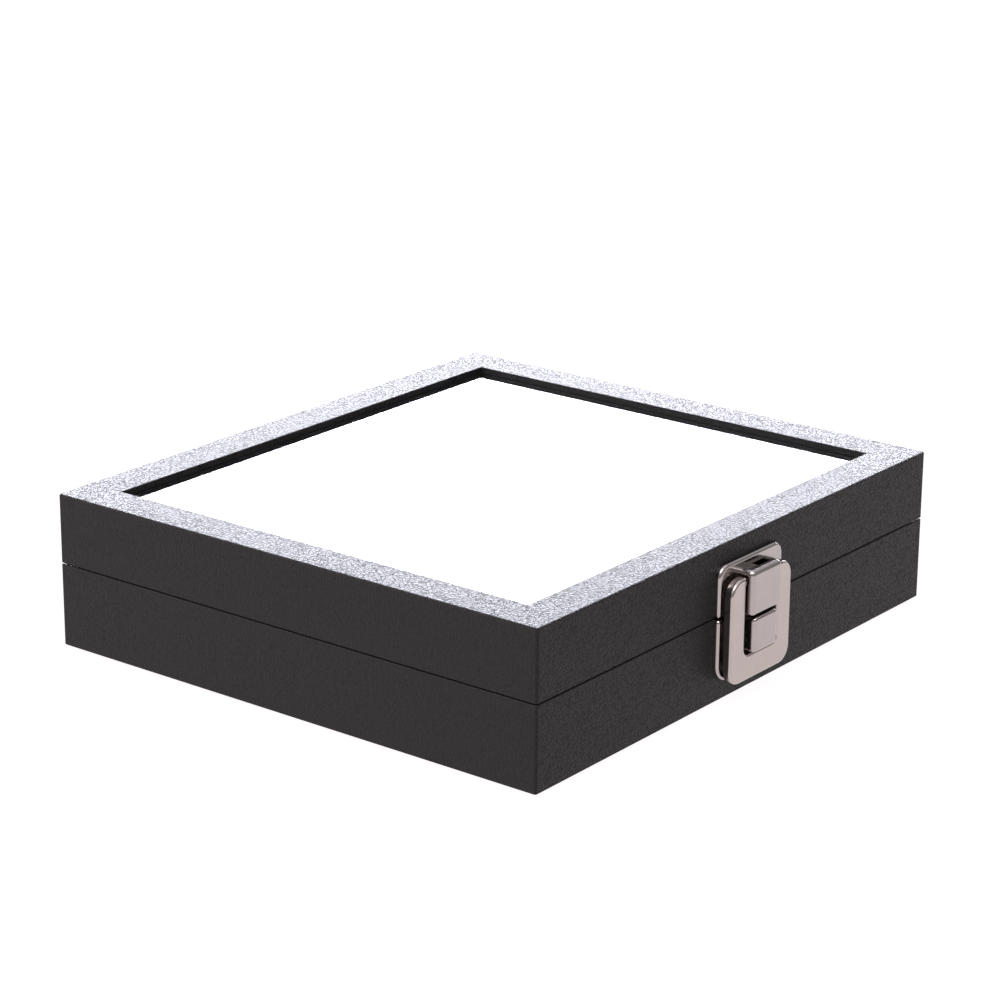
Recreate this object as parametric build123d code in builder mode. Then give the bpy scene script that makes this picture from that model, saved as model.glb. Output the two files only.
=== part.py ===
from build123d import *
import math
import os

# A display box for coins: a base with a recessed insert, and a glazed lid on two stop hinges, closed
# by a hasp on the front. The walls are mitred wood, wrapped in leatherette.
#
# Millimetres. +X runs along the front, from left to right, +Y to the back and +Z up. The origin is
# the middle of the footprint, on the surface that the box stands on.

# ---- driving sizes: the box -----------------------------------------------------------------------
box_length = 205.0  # along X
box_depth = 184.0  # along Y, without hasp and hinges
box_height = 50.0
seam_height = 27.6  # middle of the gap between base and lid
seam_gap = 0.35  # the covered rims only touch at their high spots
wall_width = 9.6  # walls of base and lid, covering included
frame_width = 13.6  # frame round the glass, covering included
corner_radius = 0.9  # upright corners
edge_rounding = 0.6  # long edges at the top
rim_rounding = 0.3  # long edges at the seam and at the foot
cover_thickness = 0.6
turn_in = 5.0  # how far the covering runs down inside the base

felt_thickness = 0.8
felt_inset = 2.0
panel_thickness = 3.0
panel_seat = 4.8  # how far the panel runs under the walls
panel_clearance = 0.2

glass_thickness = 2.0
glass_depth = 2.0  # from the top of the frame down to the glass
glass_clearance = 0.5  # from the glass's edges to the wood round it
stop_height = 8.0
stop_rounding = 1.0

lining_thickness = 0.8
insert_clearance = 0.4  # all round the insert
coin_plate_thickness = 6.0
coin_plate_height = 21.8  # top of the coin insert
recess_diameter = 46.2
recess_web = 4.2  # least width left between two recesses
lift_notch_radius = 5.0  # finger notch at the edge of each recess
lift_notch_depth = 3.0

# ---- driving sizes: hinges ------------------------------------------------------------------------
hinge_spacing = 120.0
hinge_length = 28.0
hinge_inset = 8.0  # how far a leaf runs onto the rim
leaf_thickness = 0.8
leaf_clearance = 0.15
leaf_corner = 1.5
knuckle_radius = 2.0
knuckle_share = 0.42  # middle knuckle's share of the hinge's length
knuckle_gap = 0.3  # between knuckles, and from a turning knuckle to what is beside it
hinge_pin_radius = 0.9
pin_clearance = 0.05
pin_head = 0.6  # how far a pin runs out of its hinge
opening_angle = 100.0  # where the two tails of a hinge meet
tail_clearance = 1.0  # degrees left between the tails there
tail_reach = 5.2  # from the pin's axis

# ---- driving sizes: hasp --------------------------------------------------------------------------
plate_width = 33.4
plate_proud = 2.0  # front of both plates, from the front of the box
plate_rounding = 1.1
plate_margin = 0.05  # from a plate's straight edge to the rim beside it
sheet_thickness = 0.8
hasp_plate_top = 43.9
hasp_plate_corner = 4.1
keeper_plate_bottom = 7.0
keeper_plate_corner = 6.1
small_corner = 1.3

block_reach = 7.85  # front of both blocks, from the front of the box
block_side_rounding = 1.4
block_end_rounding = 0.9
block_crown = 1.8  # radius along the front of a block's top
upper_block_width = 15.4
upper_block_bottom = 27.45
upper_block_top = 41.5
lower_block_width = 12.4
lower_block_bottom = 15.4
lower_block_top = 26.4
lower_block_crown = 1.0
block_window_width = 6.4
block_window_depth = 2.6
block_window_shift = 1.6  # to the right of the block's middle

lever_width = 31.8
lever_bottom = 6.7
lever_top = 39.5
lever_reach = 6.0  # front of the lever, from the front of the box
lever_back = 3.3  # back of its turned edges
lever_sheet = 0.9
lever_corner = 5.2
lever_arm_corner = 1.1  # beside the throat
lever_rounding = 0.95
throat_clearance = 0.8  # from the lever's arms to the upper block
throat_bottom = 14.8
throat_corner = 2.2

hasp_pin_radius = 0.75
hasp_pin_reach = 4.35  # its axis, from the front of the box
hasp_pin_height = 37.8
lug_radius = 1.5

# ---- driving sizes: screws ------------------------------------------------------------------------
screw_head_radius = 1.8
screw_shank_radius = 1.0
screw_length = 7.0
screw_point = 1.5
pilot_clearance = 0.05
head_height = 1.0  # raised heads only
cross_share = 1.3  # length of the cross, in head radii
cross_width = 0.45
cross_depth = 0.35
hinge_screw_count = 3
hinge_screw_pitch = 9.0
hinge_screw_setback = 3.6  # from a leaf's front edge
plate_screw_spacing = 23.0
hasp_screw_height = 33.5
keeper_screw_height = 18.0

# ---- worked out from the driving sizes --------------------------------------------------------------
base_rim = seam_height - seam_gap / 2
lid_rim = seam_height + seam_gap / 2
base_cover_bottom = felt_thickness
base_rail_bottom = base_cover_bottom + cover_thickness
base_rail_top = base_rim - cover_thickness
lid_rail_bottom = lid_rim + cover_thickness
lid_rail_top = box_height - cover_thickness
wood_width = wall_width - 2 * cover_thickness
wood_inner = wall_width - cover_thickness  # inner face of the wood, from the outside of the box
lip_width = frame_width - 2 * cover_thickness
panel_top = base_rail_bottom + panel_thickness
lining_top = base_rail_top - turn_in
glass_top = box_height - glass_depth
glass_bottom = glass_top - glass_thickness
glass_inset = wood_inner + glass_clearance
stop_bottom = glass_bottom - stop_height
stop_width = frame_width - wood_inner
cavity_length = box_length - 2 * wall_width
cavity_depth = box_depth - 2 * wall_width
insert_length = cavity_length - 2 * (lining_thickness - cover_thickness) - 2 * insert_clearance
insert_depth = cavity_depth - 2 * (lining_thickness - cover_thickness) - 2 * insert_clearance
block_top = coin_plate_height - coin_plate_thickness

hinge_axis_y = box_depth / 2 + knuckle_radius + knuckle_gap
hinge_places = (-hinge_spacing / 2, hinge_spacing / 2)
leaf_front = box_depth / 2 - hinge_inset
leaf_back = box_depth / 2 - leaf_clearance
base_leaf_bottom = base_rim - leaf_thickness
lid_leaf_top = lid_rim + leaf_thickness
tail_start = knuckle_radius + knuckle_gap
bore_radius = hinge_pin_radius + pin_clearance

front_face = Plane(origin=(0, -box_depth / 2, 0), x_dir=(1, 0, 0), z_dir=(0, -1, 0))
throat_width = upper_block_width + 2 * throat_clearance
hasp_pin_length = throat_width + 2 * lever_sheet

# Each side of the box: its length, the way that its length runs, and the middle of its outer face.
sides = {
    "front": (box_length, (1, 0, 0), (0, -box_depth / 2, 0)),
    "right": (box_depth, (0, 1, 0), (box_length / 2, 0, 0)),
    "back": (box_length, (-1, 0, 0), (0, box_depth / 2, 0)),
    "left": (box_depth, (0, -1, 0), (-box_length / 2, 0, 0)),
}

os.makedirs("parts", exist_ok=True)


def save(part, name):
    """Labels a finished piece and writes its file."""
    part.label = name
    export_step(part, f"parts/{name}.step")


# ---- strips along the sides -------------------------------------------------------------------------
def strip(side, inset, width, bottom, top):
    """A strip along one side, cut at 45 degrees at both ends, its outer face inset from the box's."""
    side_length, along, middle = sides[side]
    outer = side_length / 2 - inset
    inner = outer - width
    with BuildPart() as piece:
        with BuildSketch(Plane(origin=middle, x_dir=along, z_dir=(0, 0, 1)).offset(bottom)):
            with BuildLine():
                Polyline(
                    (-outer, inset),
                    (outer, inset),
                    (inner, inset + width),
                    (-inner, inset + width),
                    close=True,
                )
            make_face()
        extrude(amount=top - bottom)
    return piece.part


def cut_mortises(bottom, top):
    """Cuts the seats of both hinges, between two heights, out of the piece being built."""
    with Locations(*[(x, leaf_front - leaf_clearance, bottom) for x in hinge_places]):
        Box(
            hinge_length + 2 * leaf_clearance,
            hinge_inset + 2 * leaf_clearance,
            top - bottom,
            align=(Align.CENTER, Align.MIN, Align.MIN),
            mode=Mode.SUBTRACT,
        )


def bore(seats, radius, depth):
    """Bores the piece being built, from each seat down into it."""
    with Locations(*seats):
        Cylinder(radius, depth, align=(Align.CENTER, Align.CENTER, Align.MAX), mode=Mode.SUBTRACT)


# ---- screws: a seat is the plane of a screw's head, its z axis pointing out of the head -------------
hinge_screw_xs = [
    x + (number - (hinge_screw_count - 1) / 2) * hinge_screw_pitch
    for x in hinge_places
    for number in range(hinge_screw_count)
]
hinge_screw_y = leaf_front + hinge_screw_setback
base_hinge_seats = [
    Plane(origin=(x, hinge_screw_y, base_rim), z_dir=(0, 0, 1)) for x in hinge_screw_xs
]
lid_hinge_seats = [
    Plane(origin=(x, hinge_screw_y, lid_rim), z_dir=(0, 0, -1)) for x in hinge_screw_xs
]


def plate_seats(height):
    """Seats of the two screws of a hasp plate."""
    places = (-plate_screw_spacing / 2, plate_screw_spacing / 2)
    return [
        Plane(origin=(x, -box_depth / 2 - plate_proud, height), x_dir=(1, 0, 0), z_dir=(0, -1, 0))
        for x in places
    ]


hasp_seats = plate_seats(hasp_screw_height)
keeper_seats = plate_seats(keeper_screw_height)
pilot_radius = screw_shank_radius + pilot_clearance
pilot_depth = screw_length + pilot_clearance  # from a screw's seat


def cross_recess(top):
    """Cuts a cross into the head of the screw being built."""
    for turn in (0, 90):
        with Locations(Location((0, 0, top), (0, 0, turn))):
            Box(
                cross_share * screw_head_radius,
                cross_width,
                cross_depth,
                align=(Align.CENTER, Align.CENTER, Align.MAX),
                mode=Mode.SUBTRACT,
            )


with BuildPart() as countersunk_screw:
    with BuildSketch(Plane.XZ):
        with BuildLine():
            Polyline(
                (0, 0),
                (screw_head_radius, 0),
                (screw_shank_radius, -leaf_thickness),
                (screw_shank_radius, screw_point - screw_length),
                (0, -screw_length),
                close=True,
            )
        make_face()
    revolve(axis=Axis.Z)
    cross_recess(0)

with BuildPart() as raised_screw:
    with BuildSketch(Plane.XZ):
        with BuildLine():
            Line((0, head_height), (0, -screw_length))
            Line((0, -screw_length), (screw_shank_radius, screw_point - screw_length))
            Line((screw_shank_radius, screw_point - screw_length), (screw_shank_radius, 0))
            Line((screw_shank_radius, 0), (screw_head_radius, 0))
            Spline(
                (screw_head_radius, 0),
                (0, head_height),
                tangents=((0, 1), (-1, 0)),
            )
        make_face()
    revolve(axis=Axis.Z)
    cross_recess(head_height)


def screw_group(screw, seats, name):
    """One screw at each seat, as separate solids of one piece."""
    with BuildPart() as group:
        with Locations(*seats):
            add(screw.part)
    save(group.part, name)


screw_group(countersunk_screw, base_hinge_seats, "base_hinge_screws")
screw_group(countersunk_screw, lid_hinge_seats, "lid_hinge_screws")
screw_group(raised_screw, hasp_seats, "hasp_screws")
screw_group(raised_screw, keeper_seats, "keeper_screws")

# ---- base: walls, panel, covering, felt, linings ----------------------------------------------------
base_bores = {
    "front": keeper_seats,
    "back": base_hinge_seats,
}
for side in sides:
    blank = strip(side, cover_thickness, wood_width, base_rail_bottom, base_rail_top)
    panel_rebate = strip(
        side, wood_inner - panel_seat, panel_seat, base_rail_bottom, base_rail_bottom + panel_thickness
    )
    with BuildPart() as base_wall:
        add(blank)
        add(panel_rebate, mode=Mode.SUBTRACT)
        if side == "back":
            cut_mortises(base_leaf_bottom, base_rim)
        if side in base_bores:
            bore(base_bores[side], pilot_radius, pilot_depth)
    save(base_wall.part, f"base_{side}_wall")

    save(strip(side, wood_inner, lining_thickness, panel_top, lining_top), f"lining_{side}")

panel_inset = wood_inner - panel_seat + panel_clearance
with BuildPart() as base_panel:
    with BuildSketch(Plane.XY.offset(base_rail_bottom)):
        Rectangle(box_length - 2 * panel_inset, box_depth - 2 * panel_inset)
    extrude(amount=panel_thickness)
save(base_panel.part, "base_panel")


def wrapped_ring(bottom, top, opening_inset):
    """The outside of a covered frame, solid, before the room for the wood is cut."""
    with BuildPart() as ring:
        with BuildSketch(Plane.XY.offset(bottom)):
            RectangleRounded(box_length, box_depth, corner_radius)
            Rectangle(box_length - 2 * opening_inset, box_depth - 2 * opening_inset, mode=Mode.SUBTRACT)
        extrude(amount=top - bottom)
    return ring.part


def clear_band(inset, width, bottom, top):
    """Cuts a rectangular band, level with all four sides, out of the piece being built."""
    with BuildSketch(Plane.XY.offset(bottom)) as band:
        Rectangle(box_length - 2 * inset, box_depth - 2 * inset)
        Rectangle(box_length - 2 * (inset + width), box_depth - 2 * (inset + width), mode=Mode.SUBTRACT)
    extrude(band.sketch, amount=top - bottom, mode=Mode.SUBTRACT)


base_blank = wrapped_ring(base_cover_bottom, base_rim, wall_width)
with BuildPart() as base_cover:
    add(base_blank)
    fillet(base_cover.faces().sort_by(Axis.Z)[-1].edges(), rim_rounding)
    fillet(base_cover.faces().sort_by(Axis.Z)[0].outer_wire().edges(), rim_rounding)
    clear_band(cover_thickness, wood_width, base_rail_bottom, base_rail_top)
    clear_band(wood_inner, cover_thickness, base_rail_bottom, lining_top)
    cut_mortises(base_leaf_bottom, base_rim)
    bore(keeper_seats, pilot_radius, plate_proud + cover_thickness)
save(base_cover.part, "base_cover")

with BuildPart() as base_felt:
    with BuildSketch():
        RectangleRounded(box_length - 2 * felt_inset, box_depth - 2 * felt_inset, corner_radius)
    extrude(amount=felt_thickness)
    with BuildSketch(Plane.XY.offset(felt_thickness)):
        Rectangle(cavity_length - 2 * panel_clearance, cavity_depth - 2 * panel_clearance)
    extrude(amount=base_rail_bottom - felt_thickness)
save(base_felt.part, "base_felt")

# ---- insert: a block with a plate of round recesses on it -------------------------------------------
with BuildPart() as insert_block:
    with BuildSketch(Plane.XY.offset(panel_top)):
        Rectangle(insert_length, insert_depth)
    extrude(amount=block_top - panel_top)
save(insert_block.part, "insert_block")

recess_columns = int((insert_length - recess_web) // (recess_diameter + recess_web))
recess_rows = int((insert_depth - recess_web) // (recess_diameter + recess_web))
column_pitch = (insert_length - recess_columns * recess_diameter) / (recess_columns + 1) + recess_diameter
row_pitch = (insert_depth - recess_rows * recess_diameter) / (recess_rows + 1) + recess_diameter

with BuildPart() as coin_insert:
    with BuildSketch(Plane.XY.offset(block_top)):
        Rectangle(insert_length, insert_depth)
        with GridLocations(column_pitch, row_pitch, recess_columns, recess_rows):
            Circle(recess_diameter / 2, mode=Mode.SUBTRACT)
    extrude(amount=coin_plate_thickness)
    # a finger notch on the front of each recess, cut part of the way down
    notch_y = -recess_diameter / 2
    with BuildSketch(Plane.XY.offset(coin_plate_height)):
        with GridLocations(column_pitch, row_pitch, recess_columns, recess_rows):
            with Locations((0, notch_y + lift_notch_radius / 2)):
                Circle(lift_notch_radius)
    extrude(amount=-lift_notch_depth, mode=Mode.SUBTRACT)
save(coin_insert.part, "coin_insert")

# ---- lid: rails, stops, covering, glass -------------------------------------------------------------
lid_bores = {
    "front": hasp_seats,
    "back": lid_hinge_seats,
}
for side in sides:
    blank = strip(side, cover_thickness, wood_width, lid_rail_bottom, lid_rail_top)
    lip = strip(side, wood_inner, lip_width - wood_width, glass_top, lid_rail_top)
    with BuildPart() as lid_rail:
        add(blank)
        add(lip)
        if side == "back":
            cut_mortises(lid_rim, lid_leaf_top)
        if side in lid_bores:
            bore(lid_bores[side], pilot_radius, pilot_depth)
    save(lid_rail.part, f"lid_{side}_rail")

    stop_blank = strip(side, wood_inner, stop_width, stop_bottom, glass_bottom)
    inward = Plane(origin=sides[side][2], x_dir=sides[side][1], z_dir=(0, 0, 1)).y_dir
    with BuildPart() as glass_stop:
        add(stop_blank)
        lower_edges = glass_stop.faces().sort_by(Axis.Z)[0].edges()
        fillet(lower_edges.sort_by(Axis(origin=(0, 0, 0), direction=inward))[-1], stop_rounding)
    save(glass_stop.part, f"glass_stop_{side}")

lid_blank = wrapped_ring(lid_rim, box_height, frame_width)
with BuildPart() as lid_cover:
    add(lid_blank)
    fillet(lid_cover.faces().sort_by(Axis.Z)[-1].outer_wire().edges(), edge_rounding)
    fillet(lid_cover.faces().sort_by(Axis.Z)[-1].edges().filter_by(
        lambda edge: abs(edge.center().X) < cavity_length / 2 and abs(edge.center().Y) < cavity_depth / 2
    ), rim_rounding)
    fillet(lid_cover.faces().sort_by(Axis.Z)[0].outer_wire().edges(), rim_rounding)
    clear_band(cover_thickness, wood_width, lid_rail_bottom, lid_rail_top)
    clear_band(wood_inner, lip_width - wood_width, glass_top, lid_rail_top)
    clear_band(wood_inner, stop_width + cover_thickness, stop_bottom, glass_top)
    clear_band(wall_width, stop_width + cover_thickness, lid_rim, stop_bottom)
    cut_mortises(lid_rim, lid_leaf_top)
    bore(hasp_seats, pilot_radius, plate_proud + cover_thickness)
save(lid_cover.part, "lid_cover")

with BuildPart() as glass_pane:
    with BuildSketch(Plane.XY.offset(glass_bottom)):
        Rectangle(box_length - 2 * glass_inset, box_depth - 2 * glass_inset)
    extrude(amount=glass_thickness)
save(glass_pane.part, "glass_pane")

# ---- stop hinges ------------------------------------------------------------------------------------
middle_knuckle = hinge_length * knuckle_share
side_knuckle = (hinge_length - middle_knuckle) / 2 - knuckle_gap


def knuckle_stretches(centre, is_lid):
    """Where a leaf has its knuckles, along the hinge: the lid's is the middle one."""
    if is_lid:
        return [(centre - middle_knuckle / 2, middle_knuckle)]
    return [
        (centre - hinge_length / 2, side_knuckle),
        (centre + hinge_length / 2 - side_knuckle, side_knuckle),
    ]


def hinge_leaf(centre, is_lid):
    """A flat leaf let into a rim, its knuckles, and the tail behind them that stops the lid."""
    leaf_bottom = lid_rim if is_lid else base_leaf_bottom
    seats = lid_hinge_seats if is_lid else base_hinge_seats
    up = 1 if is_lid else -1
    tail_angle = math.radians((opening_angle + tail_clearance) / 2)
    along = (math.cos(tail_angle), up * math.sin(tail_angle))
    across = (-math.sin(tail_angle), up * math.cos(tail_angle))

    def tail_point(reach, side_step):
        """A point beside the hinge's axis: out along the tail, and away from the other tail."""
        return (
            hinge_axis_y + reach * along[0] + side_step * across[0],
            seam_height + reach * along[1] + side_step * across[1],
        )

    with BuildPart() as leaf:
        with BuildSketch(Plane.XY.offset(leaf_bottom)) as plate:
            with Locations((centre, (leaf_front + leaf_back) / 2)):
                Rectangle(hinge_length, leaf_back - leaf_front)
            fillet(plate.vertices().group_by(Axis.Y)[0], leaf_corner)
        extrude(amount=leaf_thickness)
        for start, width in knuckle_stretches(centre, is_lid):
            with BuildSketch(Plane.YZ.offset(start)):
                with Locations((hinge_axis_y, seam_height)):
                    Circle(knuckle_radius)
                with Locations((leaf_back - leaf_clearance, leaf_bottom)):
                    Rectangle(
                        hinge_axis_y - leaf_back + leaf_clearance,
                        leaf_thickness,
                        align=(Align.MIN, Align.MIN),
                    )
                with BuildLine():
                    Polyline(
                        tail_point(hinge_pin_radius, 0),
                        tail_point(tail_reach, 0),
                        tail_point(tail_reach, leaf_thickness),
                        tail_point(hinge_pin_radius, leaf_thickness),
                        close=True,
                    )
                make_face()
                with Locations((hinge_axis_y, seam_height)):
                    Circle(bore_radius if is_lid else hinge_pin_radius, mode=Mode.SUBTRACT)
            extrude(amount=width)
        with BuildSketch(Plane.YZ.offset(centre - hinge_length / 2)):
            with BuildLine():
                Polyline(
                    tail_point(tail_start, 0),
                    tail_point(tail_reach, 0),
                    tail_point(tail_reach, leaf_thickness),
                    tail_point(tail_start, leaf_thickness),
                    close=True,
                )
            make_face()
        extrude(amount=hinge_length)
        # countersinks and holes for the screws
        with Locations(*[seat for seat in seats if abs(seat.origin.X - centre) < hinge_length / 2]):
            Cone(
                screw_shank_radius,
                screw_head_radius,
                leaf_thickness,
                align=(Align.CENTER, Align.CENTER, Align.MAX),
                mode=Mode.SUBTRACT,
            )
    return leaf.part


for side, centre in zip(("left", "right"), hinge_places):
    save(hinge_leaf(centre, False), f"hinge_base_leaf_{side}")
    save(hinge_leaf(centre, True), f"hinge_lid_leaf_{side}")
    with BuildPart() as hinge_pin:
        with BuildSketch(Plane.YZ.offset(centre - hinge_length / 2 - pin_head)):
            with Locations((hinge_axis_y, seam_height)):
                Circle(hinge_pin_radius)
        extrude(amount=hinge_length + 2 * pin_head)
        chamfer(hinge_pin.edges().filter_by(GeomType.CIRCLE), pin_head / 2)
    save(hinge_pin.part, f"hinge_pin_{side}")


# ---- hasp: two pressed plates with hollow blocks, and a lever that swings on the upper one ----------
def pan_outline(bottom, top, foot_corner, head_corner):
    """Outline of a plate, seen from the front."""
    with BuildSketch() as outline:
        with Locations((0, (bottom + top) / 2)):
            Rectangle(plate_width, top - bottom)
        fillet(outline.vertices().group_by(Axis.Y)[0], foot_corner)
        fillet(outline.vertices().group_by(Axis.Y)[-1], head_corner)
    return outline.sketch


def block_form(width, bottom, top, crown, inset):
    """A block standing out from the front of the box: a crowned top, rounded sides and foot."""
    with BuildPart() as form:
        with BuildSketch(front_face):
            with Locations((0, (bottom + top) / 2)):
                Rectangle(width - 2 * inset, top - bottom - 2 * inset)
        extrude(amount=block_reach - inset)
        front = form.faces().sort_by(Axis.Y)[0]
        fillet(front.edges().sort_by(Axis.Z)[-1], crown - inset)
        for end in (0, -1):
            side = form.faces().sort_by(Axis.X)[end]
            kept = side.edges().group_by(Axis.Y)[-1] + side.edges().group_by(Axis.Z)[0]
            fillet([edge for edge in side.edges() if edge not in kept], block_side_rounding - inset)
        foot = form.faces().sort_by(Axis.Z)[0]
        kept = foot.edges().group_by(Axis.Y)[-1]
        fillet([edge for edge in foot.edges() if edge not in kept], block_end_rounding - inset)
    return form.part


def pressed_plate(outline, block, hollow, seats):
    """A shallow pan with a hollow block, both of one sheet, open at the back."""
    with BuildPart() as plate:
        with BuildSketch(front_face):
            add(outline)
        extrude(amount=plate_proud)
        fillet(plate.faces().sort_by(Axis.Y)[0].edges(), plate_rounding)
        with BuildSketch(front_face):
            offset(outline, amount=-sheet_thickness)
        extrude(amount=plate_proud - sheet_thickness, mode=Mode.SUBTRACT)
        add(block)
        add(hollow, mode=Mode.SUBTRACT)
        bore(seats, pilot_radius, plate_proud)
    return plate.part


hasp_blank = pressed_plate(
    pan_outline(lid_rim + plate_margin, hasp_plate_top, small_corner, hasp_plate_corner),
    block_form(upper_block_width, upper_block_bottom, upper_block_top, block_crown, 0),
    block_form(upper_block_width, upper_block_bottom, upper_block_top, block_crown, sheet_thickness),
    hasp_seats,
)
window_y = -box_depth / 2 - plate_proud - sheet_thickness - block_window_depth / 2
with BuildPart() as hasp_plate:
    add(hasp_blank)
    with Locations((block_window_shift, window_y, upper_block_top)):
        Box(
            block_window_width,
            block_window_depth,
            sheet_thickness + block_crown,
            align=(Align.CENTER, Align.CENTER, Align.MAX),
            mode=Mode.SUBTRACT,
        )
    with BuildSketch(Plane.YZ.offset(-upper_block_width / 2)):
        with Locations((-box_depth / 2 - hasp_pin_reach, hasp_pin_height)):
            Circle(hasp_pin_radius)
    extrude(amount=upper_block_width, mode=Mode.SUBTRACT)
save(hasp_plate.part, "hasp_plate")

keeper_plate = pressed_plate(
    pan_outline(keeper_plate_bottom, base_rim - plate_margin, keeper_plate_corner, small_corner),
    block_form(lower_block_width, lower_block_bottom, lower_block_top, lower_block_crown, 0),
    block_form(lower_block_width, lower_block_bottom, lower_block_top, lower_block_crown, sheet_thickness),
    keeper_seats,
)
save(keeper_plate, "keeper_plate")

with BuildPart() as hasp_pin:
    with BuildSketch(Plane.YZ.offset(-hasp_pin_length / 2)):
        with Locations((-box_depth / 2 - hasp_pin_reach, hasp_pin_height)):
            Circle(hasp_pin_radius)
    extrude(amount=hasp_pin_length)
save(hasp_pin.part, "hasp_pin")

with BuildSketch() as lever_outline:
    with Locations((0, (lever_bottom + lever_top) / 2)):
        Rectangle(lever_width, lever_top - lever_bottom)
    fillet(lever_outline.vertices(), lever_corner)
    with Locations((0, throat_bottom)):
        Rectangle(throat_width, lever_top, align=(Align.CENTER, Align.MIN), mode=Mode.SUBTRACT)
    inner_corners = lever_outline.vertices().filter_by(
        lambda vertex: abs(vertex.X) < throat_width / 2 + throat_clearance
    )
    fillet(inner_corners.group_by(Axis.Y)[0], throat_corner)
    fillet(inner_corners.group_by(Axis.Y)[-1], lever_arm_corner)

with BuildPart() as hasp_lever:
    with BuildSketch(front_face.offset(lever_back)):
        add(lever_outline.sketch)
    extrude(amount=lever_reach - lever_back)
    fillet(hasp_lever.faces().sort_by(Axis.Y)[0].edges(), lever_rounding)
    with BuildSketch(front_face.offset(lever_back)):
        offset(lever_outline.sketch, amount=-lever_sheet)
    extrude(amount=lever_reach - lever_back - lever_sheet, mode=Mode.SUBTRACT)
    # a lug on the inner edge of each arm carries the pin
    for start in (-hasp_pin_length / 2, throat_width / 2):
        with BuildSketch(Plane.YZ.offset(start)):
            with Locations((-box_depth / 2 - hasp_pin_reach, hasp_pin_height)):
                Circle(lug_radius)
        extrude(amount=lever_sheet)
    with BuildSketch(Plane.YZ.offset(-hasp_pin_length / 2)):
        with Locations((-box_depth / 2 - hasp_pin_reach, hasp_pin_height)):
            Circle(hasp_pin_radius + pin_clearance)
    extrude(amount=hasp_pin_length, mode=Mode.SUBTRACT)
save(hasp_lever.part, "hasp_lever")
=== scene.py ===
# %% [markdown]
# # A display box for coins
# The CAD model gives every piece its size and place. Here the box gets its looks: the covering,
# the metal, the glass and the soft parts inside, and a small studio to show them in.
# Everything is in metres, with +Z up, the front with the hasp at -Y and the hinges at +Y.

# %% Load the frame
import math
import bmesh
import bpy
from mathutils import Matrix, Vector


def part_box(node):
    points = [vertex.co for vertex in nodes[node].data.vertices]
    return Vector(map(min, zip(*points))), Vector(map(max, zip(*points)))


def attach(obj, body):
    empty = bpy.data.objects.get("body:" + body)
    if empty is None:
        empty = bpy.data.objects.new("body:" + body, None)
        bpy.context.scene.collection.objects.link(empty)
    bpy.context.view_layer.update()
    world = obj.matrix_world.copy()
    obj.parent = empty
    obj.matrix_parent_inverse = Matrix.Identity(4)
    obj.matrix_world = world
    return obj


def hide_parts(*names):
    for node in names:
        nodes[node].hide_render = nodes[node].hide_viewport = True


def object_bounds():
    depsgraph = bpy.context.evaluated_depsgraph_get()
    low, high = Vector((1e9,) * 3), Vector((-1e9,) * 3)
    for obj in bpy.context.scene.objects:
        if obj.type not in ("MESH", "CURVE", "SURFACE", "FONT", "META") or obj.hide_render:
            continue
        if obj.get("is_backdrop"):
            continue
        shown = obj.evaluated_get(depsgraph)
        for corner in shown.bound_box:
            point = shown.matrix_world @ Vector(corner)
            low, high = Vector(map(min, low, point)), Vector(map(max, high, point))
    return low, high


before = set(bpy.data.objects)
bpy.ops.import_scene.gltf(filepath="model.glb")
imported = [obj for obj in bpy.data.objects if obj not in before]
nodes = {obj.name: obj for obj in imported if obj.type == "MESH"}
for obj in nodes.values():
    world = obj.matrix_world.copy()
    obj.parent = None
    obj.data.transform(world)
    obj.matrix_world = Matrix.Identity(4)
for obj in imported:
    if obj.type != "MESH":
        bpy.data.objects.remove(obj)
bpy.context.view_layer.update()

# %% [markdown]
# ## Writing shader maths as sums
# A material is a small network of nodes. Wiring Math nodes by hand hides the formula that they
# stand for, so a socket is wrapped in a class that adds a Math node for each Python operator.
# Every other node comes from one method, which takes its type, its settings and its inputs.

# %% Signals and finishes
class Signal:
    """A value that varies over a surface. Sums on it add Math nodes to its finish."""

    def __init__(self, finish, socket):
        self.finish = finish
        self.socket = socket

    def sum_with(self, operation, *terms):
        return self.finish.node("ShaderNodeMath", {"operation": operation}, dict(enumerate(terms)))

    def __add__(self, other):
        return self.sum_with("ADD", self, other)

    __radd__ = __add__

    def __sub__(self, other):
        return self.sum_with("SUBTRACT", self, other)

    def __rsub__(self, other):
        return self.sum_with("SUBTRACT", other, self)

    def __mul__(self, other):
        return self.sum_with("MULTIPLY", self, other)

    __rmul__ = __mul__

    def clipped(self):
        """The same value, kept between 0 and 1."""
        settings = {"operation": "ADD", "use_clamp": True}
        return self.finish.node("ShaderNodeMath", settings, {0: self, 1: 0.0})


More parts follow.
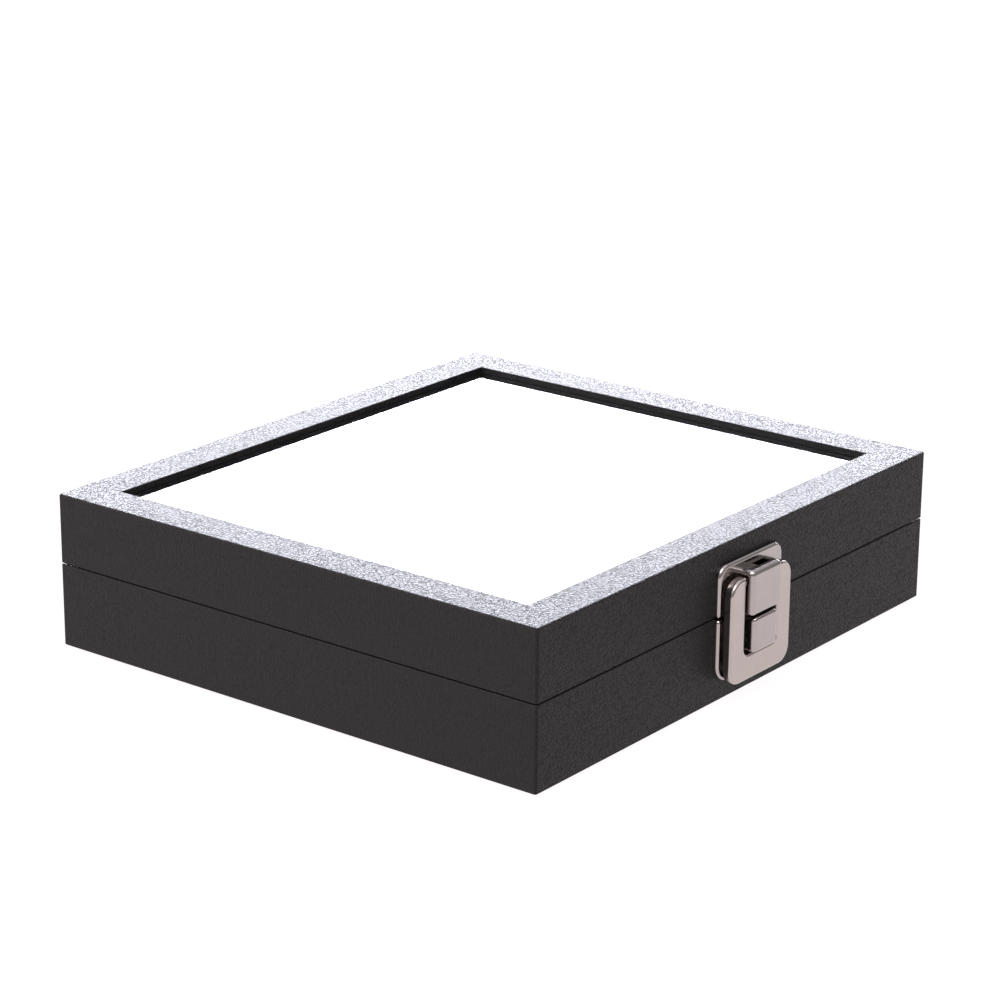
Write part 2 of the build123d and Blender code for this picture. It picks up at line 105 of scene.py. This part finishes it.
class Finish:
    """A material under construction."""

    def __init__(self, name):
        self.material = bpy.data.materials.new(name)
        self.material.use_nodes = True
        self.tree = self.material.node_tree
        self.tree.nodes.clear()
        self.place = self.node("ShaderNodeTexCoord", output="Object")

    def node(self, kind, settings=None, inputs=None, output=0):
        """Adds a node: its settings first, then the values or links of its sockets."""
        made = self.tree.nodes.new(kind)
        for name, value in (settings or {}).items():
            setattr(made, name, value)
        for name, value in (inputs or {}).items():
            if isinstance(value, Signal):
                self.tree.links.new(value.socket, made.inputs[name])
            else:
                made.inputs[name].default_value = value
        return Signal(self, made.outputs[output])

    def noise(self, grains_per_m, detail=2.0, roughness=0.5, stretch=(1, 1, 1), distortion=0.0):
        """Cloudy variation between 0 and 1; stretch squeezes it along X, Y or Z."""
        placed = self.node("ShaderNodeMapping", {}, {"Vector": self.place, "Scale": stretch})
        return self.node(
            "ShaderNodeTexNoise", {},
            {
                "Vector": placed, "Scale": grains_per_m, "Detail": detail,
                "Roughness": roughness, "Distortion": distortion,
            },
        )

    def crease(self, place, cells_per_m):
        """Distance to the nearest crease between cells: 0 in it, up to about 0.5 inside a cell."""
        return self.node(
            "ShaderNodeTexVoronoi", {"feature": "DISTANCE_TO_EDGE"},
            {"Vector": place, "Scale": cells_per_m},
        )

    def fade(self, value, low, high, bottom=0.0, top=1.0):
        """A smooth step of a value, from bottom at low to top at high."""
        return self.node(
            "ShaderNodeMapRange", {"interpolation_type": "SMOOTHSTEP"},
            {"Value": value, "From Min": low, "From Max": high, "To Min": bottom, "To Max": top},
        )

    def blend(self, share, first, second):
        """A colour between two colours."""
        return self.node("ShaderNodeMix", {"data_type": "RGBA"}, {0: share, 6: first, 7: second}, 2)

    def relief(self, height, depth_m):
        """A bumped normal, from a height between 0 and 1 and the real depth that 1 stands for."""
        return self.node(
            "ShaderNodeBump", {}, {"Height": height, "Distance": depth_m, "Strength": 1.0}, "Normal"
        )

    def surface(self, **values):
        """The main shader. Keyword names are its socket names, with _ for a space."""
        named = {name.replace("_", " "): value for name, value in values.items()}
        return self.node("ShaderNodeBsdfPrincipled", {}, named)

    def done(self, shader):
        output = self.tree.nodes.new("ShaderNodeOutputMaterial")
        self.tree.links.new(shader.socket, output.inputs["Surface"])
        return self.material

# %% [markdown]
# ## Leatherette
# The box is wrapped in thin black leatherette, pressed with a fine crackle grain. A Voronoi texture
# gives the grain: its distance to the nearest cell edge is high in the middle of a pebble and zero
# in the crease between two. A noise that bends the coordinates first keeps the cells from looking
# like a net, and a second, coarser set of creases runs through the first, as on real pressed grain.
# The tops of the pebbles polish with handling, and the creases stay dull.

# %% The covering
pebbles_per_m = 780
folds_per_m = 310
grain_depth = 0.0001
bend_per_m = 900
bend_reach = 0.0014


def leatherette():
    finish = Finish("black_leatherette")
    drift = finish.node(
        "ShaderNodeTexNoise", {}, {"Vector": finish.place, "Scale": bend_per_m, "Detail": 2.0}, "Color"
    )
    bent = finish.node(
        "ShaderNodeVectorMath", {"operation": "MULTIPLY_ADD"},
        {0: drift, 1: (bend_reach, bend_reach, bend_reach), 2: finish.place},
    )
    pebble = finish.fade(finish.crease(bent, pebbles_per_m), 0.02, 0.2)
    fold = finish.fade(finish.crease(bent, folds_per_m), 0.0, 0.1)
    fine = finish.noise(5200, detail=3.0, roughness=0.6)
    cloud = finish.noise(30, detail=3.0)
    height = pebble * 0.6 + fold * 0.32 + fine * 0.08
    # The base colour is darker in the creases than on the pebbles, as painted shade in the valleys of the
    # grain, and it also varies at random with the cloud noise.
    colour = finish.blend(
        (pebble * 0.6 + cloud * 0.4).clipped(), (0.0108, 0.0098, 0.0099, 1), (0.0148, 0.0134, 0.0135, 1)
    )
    shader = finish.surface(
        Base_Color=colour,
        Roughness=(0.6 - pebble * 0.22 - fold * 0.08 + cloud * 0.04).clipped(),
        Normal=finish.relief(height, grain_depth),
        Specular_IOR_Level=0.15,
    )
    return finish.done(shader)


leather = leatherette()


def dress(material, *names):
    """Gives CAD nodes a finish, through their own material slots."""
    for name in names:
        for place in nodes[name].material_slots:
            place.material = material


dress(leather, "base_cover", "lid_cover")
print("covering: pebbles of about", round(1000 / pebbles_per_m, 2), "mm")

# %% [markdown]
# ## Nickel
# The hasp is pressed steel with a dark, shiny nickel plating: a warm grey mirror, slightly blurred by
# fine wiping scratches and by the waviness of pressed sheet. The lever is the same nickel with a
# brighter, warmer tint, a painted reflection of the bright floor close under it, and the hinges are
# left satin. Metal has no colour of its own beside its reflections, so its tint is the Base Color.

# %% The plated metal
def nickel(name, tint, dark_tint, roughness, streaks):
    finish = Finish(name)
    cloud = finish.noise(160, detail=3.0)
    scratches = finish.noise(2600, detail=4.0, roughness=0.7, stretch=streaks)
    ripple = finish.noise(300, detail=1.0)
    shader = finish.surface(
        Base_Color=finish.blend(cloud, dark_tint, tint),
        Metallic=1.0,
        Roughness=(roughness + scratches * 0.08 + cloud * 0.05).clipped(),
        Normal=finish.relief(scratches * 0.08 + ripple * 0.92, 0.000022),
    )
    return finish.done(shader)


hasp_metal = nickel("hasp_nickel", (0.44, 0.402, 0.392, 1), (0.385, 0.348, 0.338, 1), 0.12, (1, 1, 0.1))
# The lever's tint is brighter and warmer than the hasp's, as a painted reflection of the bright floor
# close under it.
lever_metal = nickel("lever_nickel_painted_brighter", (0.485, 0.43, 0.408, 1), (0.43, 0.38, 0.362, 1), 0.12, (1, 1, 0.1))
hinge_metal = nickel("hinge_nickel", (0.5, 0.46, 0.44, 1), (0.4, 0.365, 0.35, 1), 0.24, (0.1, 1, 1))
dress(hasp_metal, "hasp_plate", "keeper_plate", "hasp_pin", "hasp_screws", "keeper_screws")
dress(lever_metal, "hasp_lever")
dress(
    hinge_metal, "hinge_base_leaf_left", "hinge_base_leaf_right", "hinge_lid_leaf_left",
    "hinge_lid_leaf_right", "hinge_pin_left", "hinge_pin_right", "base_hinge_screws", "lid_hinge_screws",
)

# %% [markdown]
# ## Glass
# The pane is clear float glass. A ray of light that meets real glass bends twice and goes on, and
# following every such ray is slow and noisy, so rays from lamps are let straight through, and only
# the view and the reflections treat it as glass.

# %% The pane
def clear_glass():
    finish = Finish("clear_glass")
    wiped = finish.noise(35, detail=4.0, roughness=0.65, stretch=(1, 0.35, 1))
    glass = finish.surface(
        Base_Color=(0.975, 0.99, 0.985, 1),
        Roughness=finish.fade(wiped, 0.45, 0.75, 0.0, 0.015),
        IOR=1.5,
        Transmission_Weight=1.0,
    )
    open_air = finish.node("ShaderNodeBsdfTransparent", {}, {"Color": (0.93, 0.95, 0.94, 1)})
    lamp_ray = finish.node("ShaderNodeLightPath", output="Is Shadow Ray")
    return finish.done(finish.node("ShaderNodeMixShader", {}, {0: lamp_ray, 1: glass, 2: open_air}))


dress(clear_glass(), "glass_pane")

# %% [markdown]
# ## Board and lacquer
# Under the covering, the walls and rails are fibreboard: brown, dull, with pale and dark fibres
# lying every way. The floor panel is hardboard, darker and denser, with a slight gloss from its
# press. The strips that hold the glass are softwood, brushed matt black, with the long grain of the
# wood just showing through the paint.

# %% Fibreboard, hardboard and black lacquer
def fibre_board(name, pale, dark, roughness, fibres_per_m):
    finish = Finish(name)
    lying = finish.noise(fibres_per_m, detail=4.0, roughness=0.7, stretch=(1, 0.22, 1))
    crossing = finish.noise(fibres_per_m, detail=4.0, roughness=0.7, stretch=(0.22, 1, 1))
    fibres = lying * 0.5 + crossing * 0.5
    patches = finish.noise(60, detail=2.0)
    shader = finish.surface(
        Base_Color=finish.blend(finish.fade(fibres + patches * 0.15, 0.42, 0.72), dark, pale),
        Roughness=(roughness + fibres * 0.12).clipped(),
        Normal=finish.relief(fibres, 0.00005),
        Specular_IOR_Level=0.35,
    )
    return finish.done(shader)


def black_lacquer():
    finish = Finish("black_lacquer")
    grain = finish.noise(900, detail=3.0, roughness=0.6, stretch=(0.05, 0.05, 1))
    brushed = finish.noise(2400, detail=2.0)
    shader = finish.surface(
        Base_Color=finish.blend(grain, (0.006, 0.006, 0.0062, 1), (0.014, 0.0135, 0.0138, 1)),
        Roughness=(0.52 + brushed * 0.12).clipped(),
        Normal=finish.relief(grain * 0.7 + brushed * 0.3, 0.00004),
        Specular_IOR_Level=0.35,
    )
    return finish.done(shader)


side_names = ("front", "right", "back", "left")
walls = [f"base_{side}_wall" for side in side_names] + [f"lid_{side}_rail" for side in side_names]
dress(fibre_board("fibreboard", (0.47, 0.33, 0.2, 1), (0.3, 0.19, 0.105, 1), 0.7, 700), *walls)
dress(fibre_board("hardboard", (0.3, 0.185, 0.1, 1), (0.17, 0.095, 0.05, 1), 0.5, 1100), "base_panel")
dress(black_lacquer(), *[f"glass_stop_{side}" for side in side_names])
print("fibreboard on", len(walls), "walls and rails")

# %% [markdown]
# ## Soft finishes
# Felt, velvet and flock are all short fibres seen end on. They swallow light that falls straight on
# them and glow a little along their edges, which is what the shader's sheen does. Each differs in
# the size of its fibres: felt is a coarse mat, velvet and flock are fine and leave soft shaded
# patches where the pile leans. Foam is a mass of small open cells.

# %% Felt, velvet, flock and foam
def napped(name, dark, pale, fibres_per_m, pile_depth, sheen, patch_per_m):
    finish = Finish(name)
    pile = finish.noise(fibres_per_m, detail=4.0, roughness=0.75)
    leaning = finish.noise(patch_per_m, detail=3.0, roughness=0.55, distortion=0.6)
    shader = finish.surface(
        Base_Color=finish.blend((pile * 0.6 + leaning * 0.4).clipped(), dark, pale),
        Roughness=(0.86 + pile * 0.12).clipped(),
        Normal=finish.relief(pile * 0.8 + leaning * 0.2, pile_depth),
        Specular_IOR_Level=0.15,
        Sheen_Weight=sheen,
        Sheen_Roughness=0.45,
        Sheen_Tint=(0.85, 0.86, 0.9, 1),
    )
    return finish.done(shader)


def foam():
    finish = Finish("black_foam")
    cells = finish.fade(finish.crease(finish.place, 2200), 0.0, 0.3)
    cloud = finish.noise(45, detail=2.0)
    # The base colour is darker in the middles of the cells, the sunken pores, than on the walls between
    # them, as painted shade, and it also varies at random with the cloud noise.
    shader = finish.surface(
        Base_Color=finish.blend(
            (cells * 0.7 + cloud * 0.3).clipped(), (0.03, 0.03, 0.031, 1), (0.009, 0.009, 0.0095, 1)
        ),
        Roughness=(0.9 - cells * 0.1).clipped(),
        Normal=finish.relief(1 - cells, 0.00016),
        Specular_IOR_Level=0.2,
        Sheen_Weight=0.12,
    )
    return finish.done(shader)


felt = napped(
    "black_felt", (0.008, 0.008, 0.0085, 1), (0.032, 0.031, 0.032, 1),
    fibres_per_m=1500, pile_depth=0.0002, sheen=0.25, patch_per_m=90,
)
velvet = napped(
    "black_velvet", (0.004, 0.004, 0.0045, 1), (0.016, 0.015, 0.017, 1),
    fibres_per_m=4200, pile_depth=0.0001, sheen=0.55, patch_per_m=40,
)
flock = napped(
    "black_flock", (0.005, 0.005, 0.0055, 1), (0.019, 0.018, 0.02, 1),
    fibres_per_m=3600, pile_depth=0.00012, sheen=0.45, patch_per_m=55,
)
block_foam = foam()

# %% [markdown]
# ## Modelling by hand
# The soft pieces are modelled like anything in Blender: a primitive is placed, shaped in edit mode,
# and finished with modifiers. Operators act on whatever is selected, so a piece starts with nothing
# selected, and its faces and edges are picked in code by where they lie. When a piece is done, its
# place is applied, so that its object sits at the origin like the CAD nodes.

# %% Helpers for modelling
smooth_below = math.radians(40)  # sharper edges than this stay sharp


def block_at(name, low, high):
    """A cube stretched to fill the space between two corners, with its place applied."""
    bpy.ops.object.select_all(action="DESELECT")
    bpy.ops.mesh.primitive_cube_add(size=1, location=(low + high) / 2, scale=high - low)
    bpy.ops.object.transform_apply(location=True, rotation=True, scale=True)
    piece = bpy.context.object
    piece.name = name
    piece.data.name = name
    return piece


def choose(piece, kind, wanted):
    """In edit mode, selects the vertices, edges or faces whose test is true, and nothing else."""
    bpy.ops.object.mode_set(mode="EDIT")
    bpy.ops.mesh.select_mode(type=kind)
    bpy.ops.mesh.select_all(action="DESELECT")
    cage = bmesh.from_edit_mesh(piece.data)
    parts = {"VERT": cage.verts, "EDGE": cage.edges, "FACE": cage.faces}[kind]
    for part in parts:
        if wanted(part):
            part.select_set(True)
    bmesh.update_edit_mesh(piece.data)


def run(piece, kind, **settings):
    """Adds a modifier and applies it at once."""
    bpy.ops.object.mode_set(mode="OBJECT")
    modifier = piece.modifiers.new(kind.lower(), kind)
    for name, value in settings.items():
        setattr(modifier, name, value)
    bpy.context.view_layer.objects.active = piece
    bpy.ops.object.modifier_apply(modifier=modifier.name)


def complete(piece, material, body, node):
    """The last steps of every piece: shading, finish, and what it stands for."""
    bpy.ops.object.mode_set(mode="OBJECT")
    bpy.ops.object.select_all(action="DESELECT")
    piece.select_set(True)
    bpy.context.view_layer.objects.active = piece
    bpy.ops.object.shade_smooth_by_angle(angle=smooth_below)
    piece.data.materials.clear()
    piece.data.materials.append(material)
    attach(piece, body)
    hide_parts(node)
    print(piece.name, "faces:", len(piece.data.polygons))


def edge_middle(edge):
    return (edge.verts[0].co + edge.verts[1].co) / 2


uneven = bpy.data.textures.new("uneven", "CLOUDS")
uneven.noise_scale = 0.012
uneven.noise_depth = 2


def settle(piece, depth):
    """Sinks a soft surface inwards a little, here more and there less, and never outwards."""
    run(piece, "DISPLACE", texture=uneven, texture_coords="OBJECT", strength=depth, mid_level=1.0)


# %% [markdown]
# ## Linings
# Strips of velvet are glued to the inside of the four walls, below the turned-in covering, so that
# the insert slides in without scraping wood. Each is cut at 45 degrees to meet its neighbours. A
# block with its inner face shortened gives the mitres, a bevel rounds the pile over at the top, and
# a slight unevenness keeps it from looking like plastic.

# %% Velvet strips
for side in side_names:
    low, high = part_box(f"lining_{side}")
    strip = block_at(f"velvet_{side}", low, high)
    runs_along_x = side in ("front", "back")
    across = 1 if runs_along_x else 0
    length = (high - low)[1 - across]
    thickness = (high - low)[across]
    towards_middle = -1 if side in ("back", "right") else 1
    inner = (low if towards_middle < 0 else high)[across]
    choose(strip, "VERT", lambda vertex: abs(vertex.co[across] - inner) < thickness / 4)
    shorter = (length - 2 * thickness) / length
    bpy.ops.transform.resize(value=(shorter, 1, 1) if runs_along_x else (1, shorter, 1))
    choose(
        strip, "EDGE",
        lambda edge: abs(edge_middle(edge)[across] - inner) < thickness / 4
        and edge_middle(edge).z > high.z - thickness / 4,
    )
    bpy.ops.mesh.bevel(offset=thickness * 0.45, segments=4)
    choose(strip, "EDGE", lambda edge: abs((edge.verts[0].co - edge.verts[1].co)[1 - across]) > length / 2)
    bpy.ops.mesh.subdivide(number_cuts=60)
    settle(strip, 0.00012)
    complete(strip, velvet, "base", f"lining_{side}")

# %% [markdown]
# ## Felt under the box
# A sheet of pressed felt protects the table. It is glued to the bottom, a little smaller than the
# box, and its thicker middle fills the shallow recess under the floor panel. That middle is an
# extrusion from an inset face, and the lower edge is rounded, as cut felt is once it has stood.

# %% Felt sheet
low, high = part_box("base_felt")
felt_thickness = 0.0008
recess_inset = 0.0078
sheet = block_at("felt_sheet", low, Vector((high.x, high.y, felt_thickness)))
choose(sheet, "EDGE", lambda edge: abs(edge.verts[0].co.z - edge.verts[1].co.z) > felt_thickness / 2)
bpy.ops.mesh.bevel(offset=0.0014, segments=5)
choose(sheet, "FACE", lambda face: face.normal.z > 0.5)
bpy.ops.mesh.inset(thickness=recess_inset)
bpy.ops.mesh.extrude_region_move(TRANSFORM_OT_translate={"value": (0, 0, high.z - felt_thickness)})
choose(sheet, "FACE", lambda face: face.normal.z < -0.5)
bpy.ops.mesh.inset(thickness=0.0006)
choose(
    sheet, "EDGE",
    lambda edge: max(v.co.z for v in edge.verts) < felt_thickness / 4
    and max(abs(edge_middle(edge).x) - high.x, abs(edge_middle(edge).y) - high.y) > -0.0003,
)
bpy.ops.mesh.bevel(offset=0.0003, segments=3)
complete(sheet, felt, "base", "base_felt")

# %% [markdown]
# ## Foam block
# The coin plate lies on a block of black foam, whose top is also the floor of the recesses. Foam is
# cut with a hot wire, so its edges are slightly rounded and its faces not quite flat.

# %% Foam block
low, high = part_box("insert_block")
block = block_at("foam_block", low, high)
choose(block, "EDGE", lambda edge: True)
bpy.ops.mesh.bevel(offset=0.0006, segments=3)
choose(block, "FACE", lambda face: face.calc_area() > 0.0005)
bpy.ops.mesh.subdivide(number_cuts=40)
settle(block, 0.0001)
complete(block, block_foam, "base", "insert_block")

# %% [markdown]
# ## Coin plate
# The plate that holds the coins is board with round recesses, covered in flock. The CAD plate has
# the right holes and finger notches, but flock lies in a soft layer that rounds every edge over. So
# a copy of it is merged into one skin, its flat triangles are dissolved, and a bevel softens all of
# its rims.

# %% Coin plate
plate = nodes["coin_insert"].copy()
plate.data = nodes["coin_insert"].data.copy()
plate.name = "coin_plate"
plate.data.name = "coin_plate"
bpy.context.scene.collection.objects.link(plate)
bpy.ops.object.select_all(action="DESELECT")
plate.select_set(True)
bpy.context.view_layer.objects.active = plate
bpy.ops.object.mode_set(mode="EDIT")
bpy.ops.mesh.select_all(action="SELECT")
bpy.ops.mesh.remove_doubles(threshold=0.00001)
bpy.ops.mesh.dissolve_limited(angle_limit=math.radians(1))
run(plate, "BEVEL", width=0.00055, segments=3, limit_method="ANGLE", angle_limit=math.radians(35))
complete(plate, flock, "base", "coin_insert")
run(plate, "WEIGHTED_NORMAL")

# %% [markdown]
# ## The floor
# A product studio has a white sweep that runs on out of sight. Here it is one large plane. A little
# light of its own keeps it white right up to the box, as paper is when it is lit from all around, and
# the dark sides of the box and the metal mirror it.

# %% Floor
floor_size = 12.0
floor_gap = 0.0002  # two faces in one plane would flicker
bpy.ops.object.select_all(action="DESELECT")
bpy.ops.mesh.primitive_plane_add(size=floor_size, location=(0, 0, -floor_gap))
floor = bpy.context.object
floor.name = "studio_floor"
floor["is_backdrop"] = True


def pale_floor():
    finish = Finish("pale_floor")
    matte = finish.node("ShaderNodeBsdfDiffuse", {}, {"Color": (0.06, 0.06, 0.06, 1)})
    glow = finish.node("ShaderNodeEmission", {}, {"Color": (1, 0.955, 0.96, 1), "Strength": 1.0})
    return finish.done(finish.node("ShaderNodeAddShader", {}, {0: matte, 1: glow}))


floor.data.materials.append(pale_floor())
print("floor:", floor_size, "m across")

# %% [markdown]
# ## The camera
# A long lens from about a metre away, a little above the box and off its near corner, shows two sides
# and the top with little perspective. The camera is built from the direction it looks along: its
# right and up vectors follow from that and from the slight roll of a camera held by hand.

# %% Camera
camera_azimuth = math.radians(-52.119)
camera_elevation = math.radians(18.432)
camera_roll = math.radians(0.394)
camera_place = Vector((-0.7328, -0.5674, 0.3513))
lens_mm = 113.26

towards_camera = Vector((
    math.sin(camera_azimuth) * math.cos(camera_elevation),
    -math.cos(camera_azimuth) * math.cos(camera_elevation),
    math.sin(camera_elevation),
))
level_right = Vector((0, 0, 1)).cross(towards_camera).normalized()
level_up = towards_camera.cross(level_right)
right = math.cos(camera_roll) * level_right + math.sin(camera_roll) * level_up
up = math.cos(camera_roll) * level_up - math.sin(camera_roll) * level_right
camera_data = bpy.data.cameras.new("camera")
camera_data.lens = lens_mm
camera_data.clip_start = 0.01
camera = bpy.data.objects.new("camera", camera_data)
bpy.context.scene.collection.objects.link(camera)
camera_turn = Matrix((right, up, towards_camera)).transposed()
camera.matrix_world = Matrix.Translation(camera_place) @ camera_turn.to_4x4()
bpy.context.scene.camera = camera
print("camera distance:", round(camera_place.length, 3), "m")

# %% [markdown]
# ## Lamps and sky
# Black leatherette shows its grain only where it mirrors something bright. A wide lamp low behind the
# box does that for the glass and the top of the frame, seen at a shallow angle. A lamp overhead puts
# small highlights on the rounded edges of the hasp, one on the left lifts the side, and a sky that is
# darker near the horizon fills in the rest.

# %% Lamps and sky
def soft_lamp(name, place, aim, width, height, radiance, colour=(1, 1, 1)):
    """A rectangular lamp facing a point. Radiance is how bright its face is, with white paper at 1."""
    data = bpy.data.lights.new(name, "AREA")
    data.shape = "RECTANGLE"
    data.size = width
    data.size_y = height
    data.energy = radiance * width * height * math.pi
    data.color = colour
    lamp = bpy.data.objects.new(name, data)
    bpy.context.scene.collection.objects.link(lamp)
    lamp.location = place
    lamp.rotation_mode = "QUATERNION"
    lamp.rotation_quaternion = (Vector(place) - Vector(aim)).to_track_quat("Z", "Y")


away = Vector((-towards_camera.x, -towards_camera.y, 0)).normalized()
back_distance = 2.2
back_height = 0.63
back_place = away * back_distance + Vector((0, 0, back_height))
cool_white = (0.89, 0.897, 1.0)
faint_violet = (0.97, 0.96, 1.0)
soft_lamp("back_lamp", back_place, (0, 0, 0.1), 3.6, 1.1, radiance=13.8, colour=cool_white)
soft_lamp("overhead_lamp", (-0.8, -0.6, 1.9), (0, 0, 0), 1.3, 1.3, radiance=4.0)
soft_lamp("left_lamp", (-1.6, 0.9, 0.8), (0, 0, 0.03), 1.6, 1.2, radiance=4.6, colour=faint_violet)

world = bpy.data.worlds.new("sky")
bpy.context.scene.world = world
world.use_nodes = True
direction = world.node_tree.nodes.new("ShaderNodeTexCoord")
height = world.node_tree.nodes.new("ShaderNodeSeparateXYZ")
shade = world.node_tree.nodes.new("ShaderNodeValToRGB")
horizon, overhead = shade.color_ramp.elements
horizon.position = 0.45
horizon.color = (0.34, 0.33, 0.33, 1)
overhead.position = 0.8
overhead.color = (1.1, 1.08, 1.15, 1)
world.node_tree.links.new(direction.outputs["Generated"], height.inputs[0])
world.node_tree.links.new(height.outputs["Z"], shade.inputs[0])
world.node_tree.links.new(shade.outputs[0], world.node_tree.nodes["Background"].inputs["Color"])
bpy.context.scene.view_settings.view_transform = "Standard"

# %% [markdown]
# ## Measure and finish
# The box round everything visible is measured and printed. It should match the box round the CAD pieces,
# or a soft piece has grown past the space that was made for it.

# %% Measure and finish
low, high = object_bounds()
print("visual box:", [round(v, 4) for v in (high - low)])
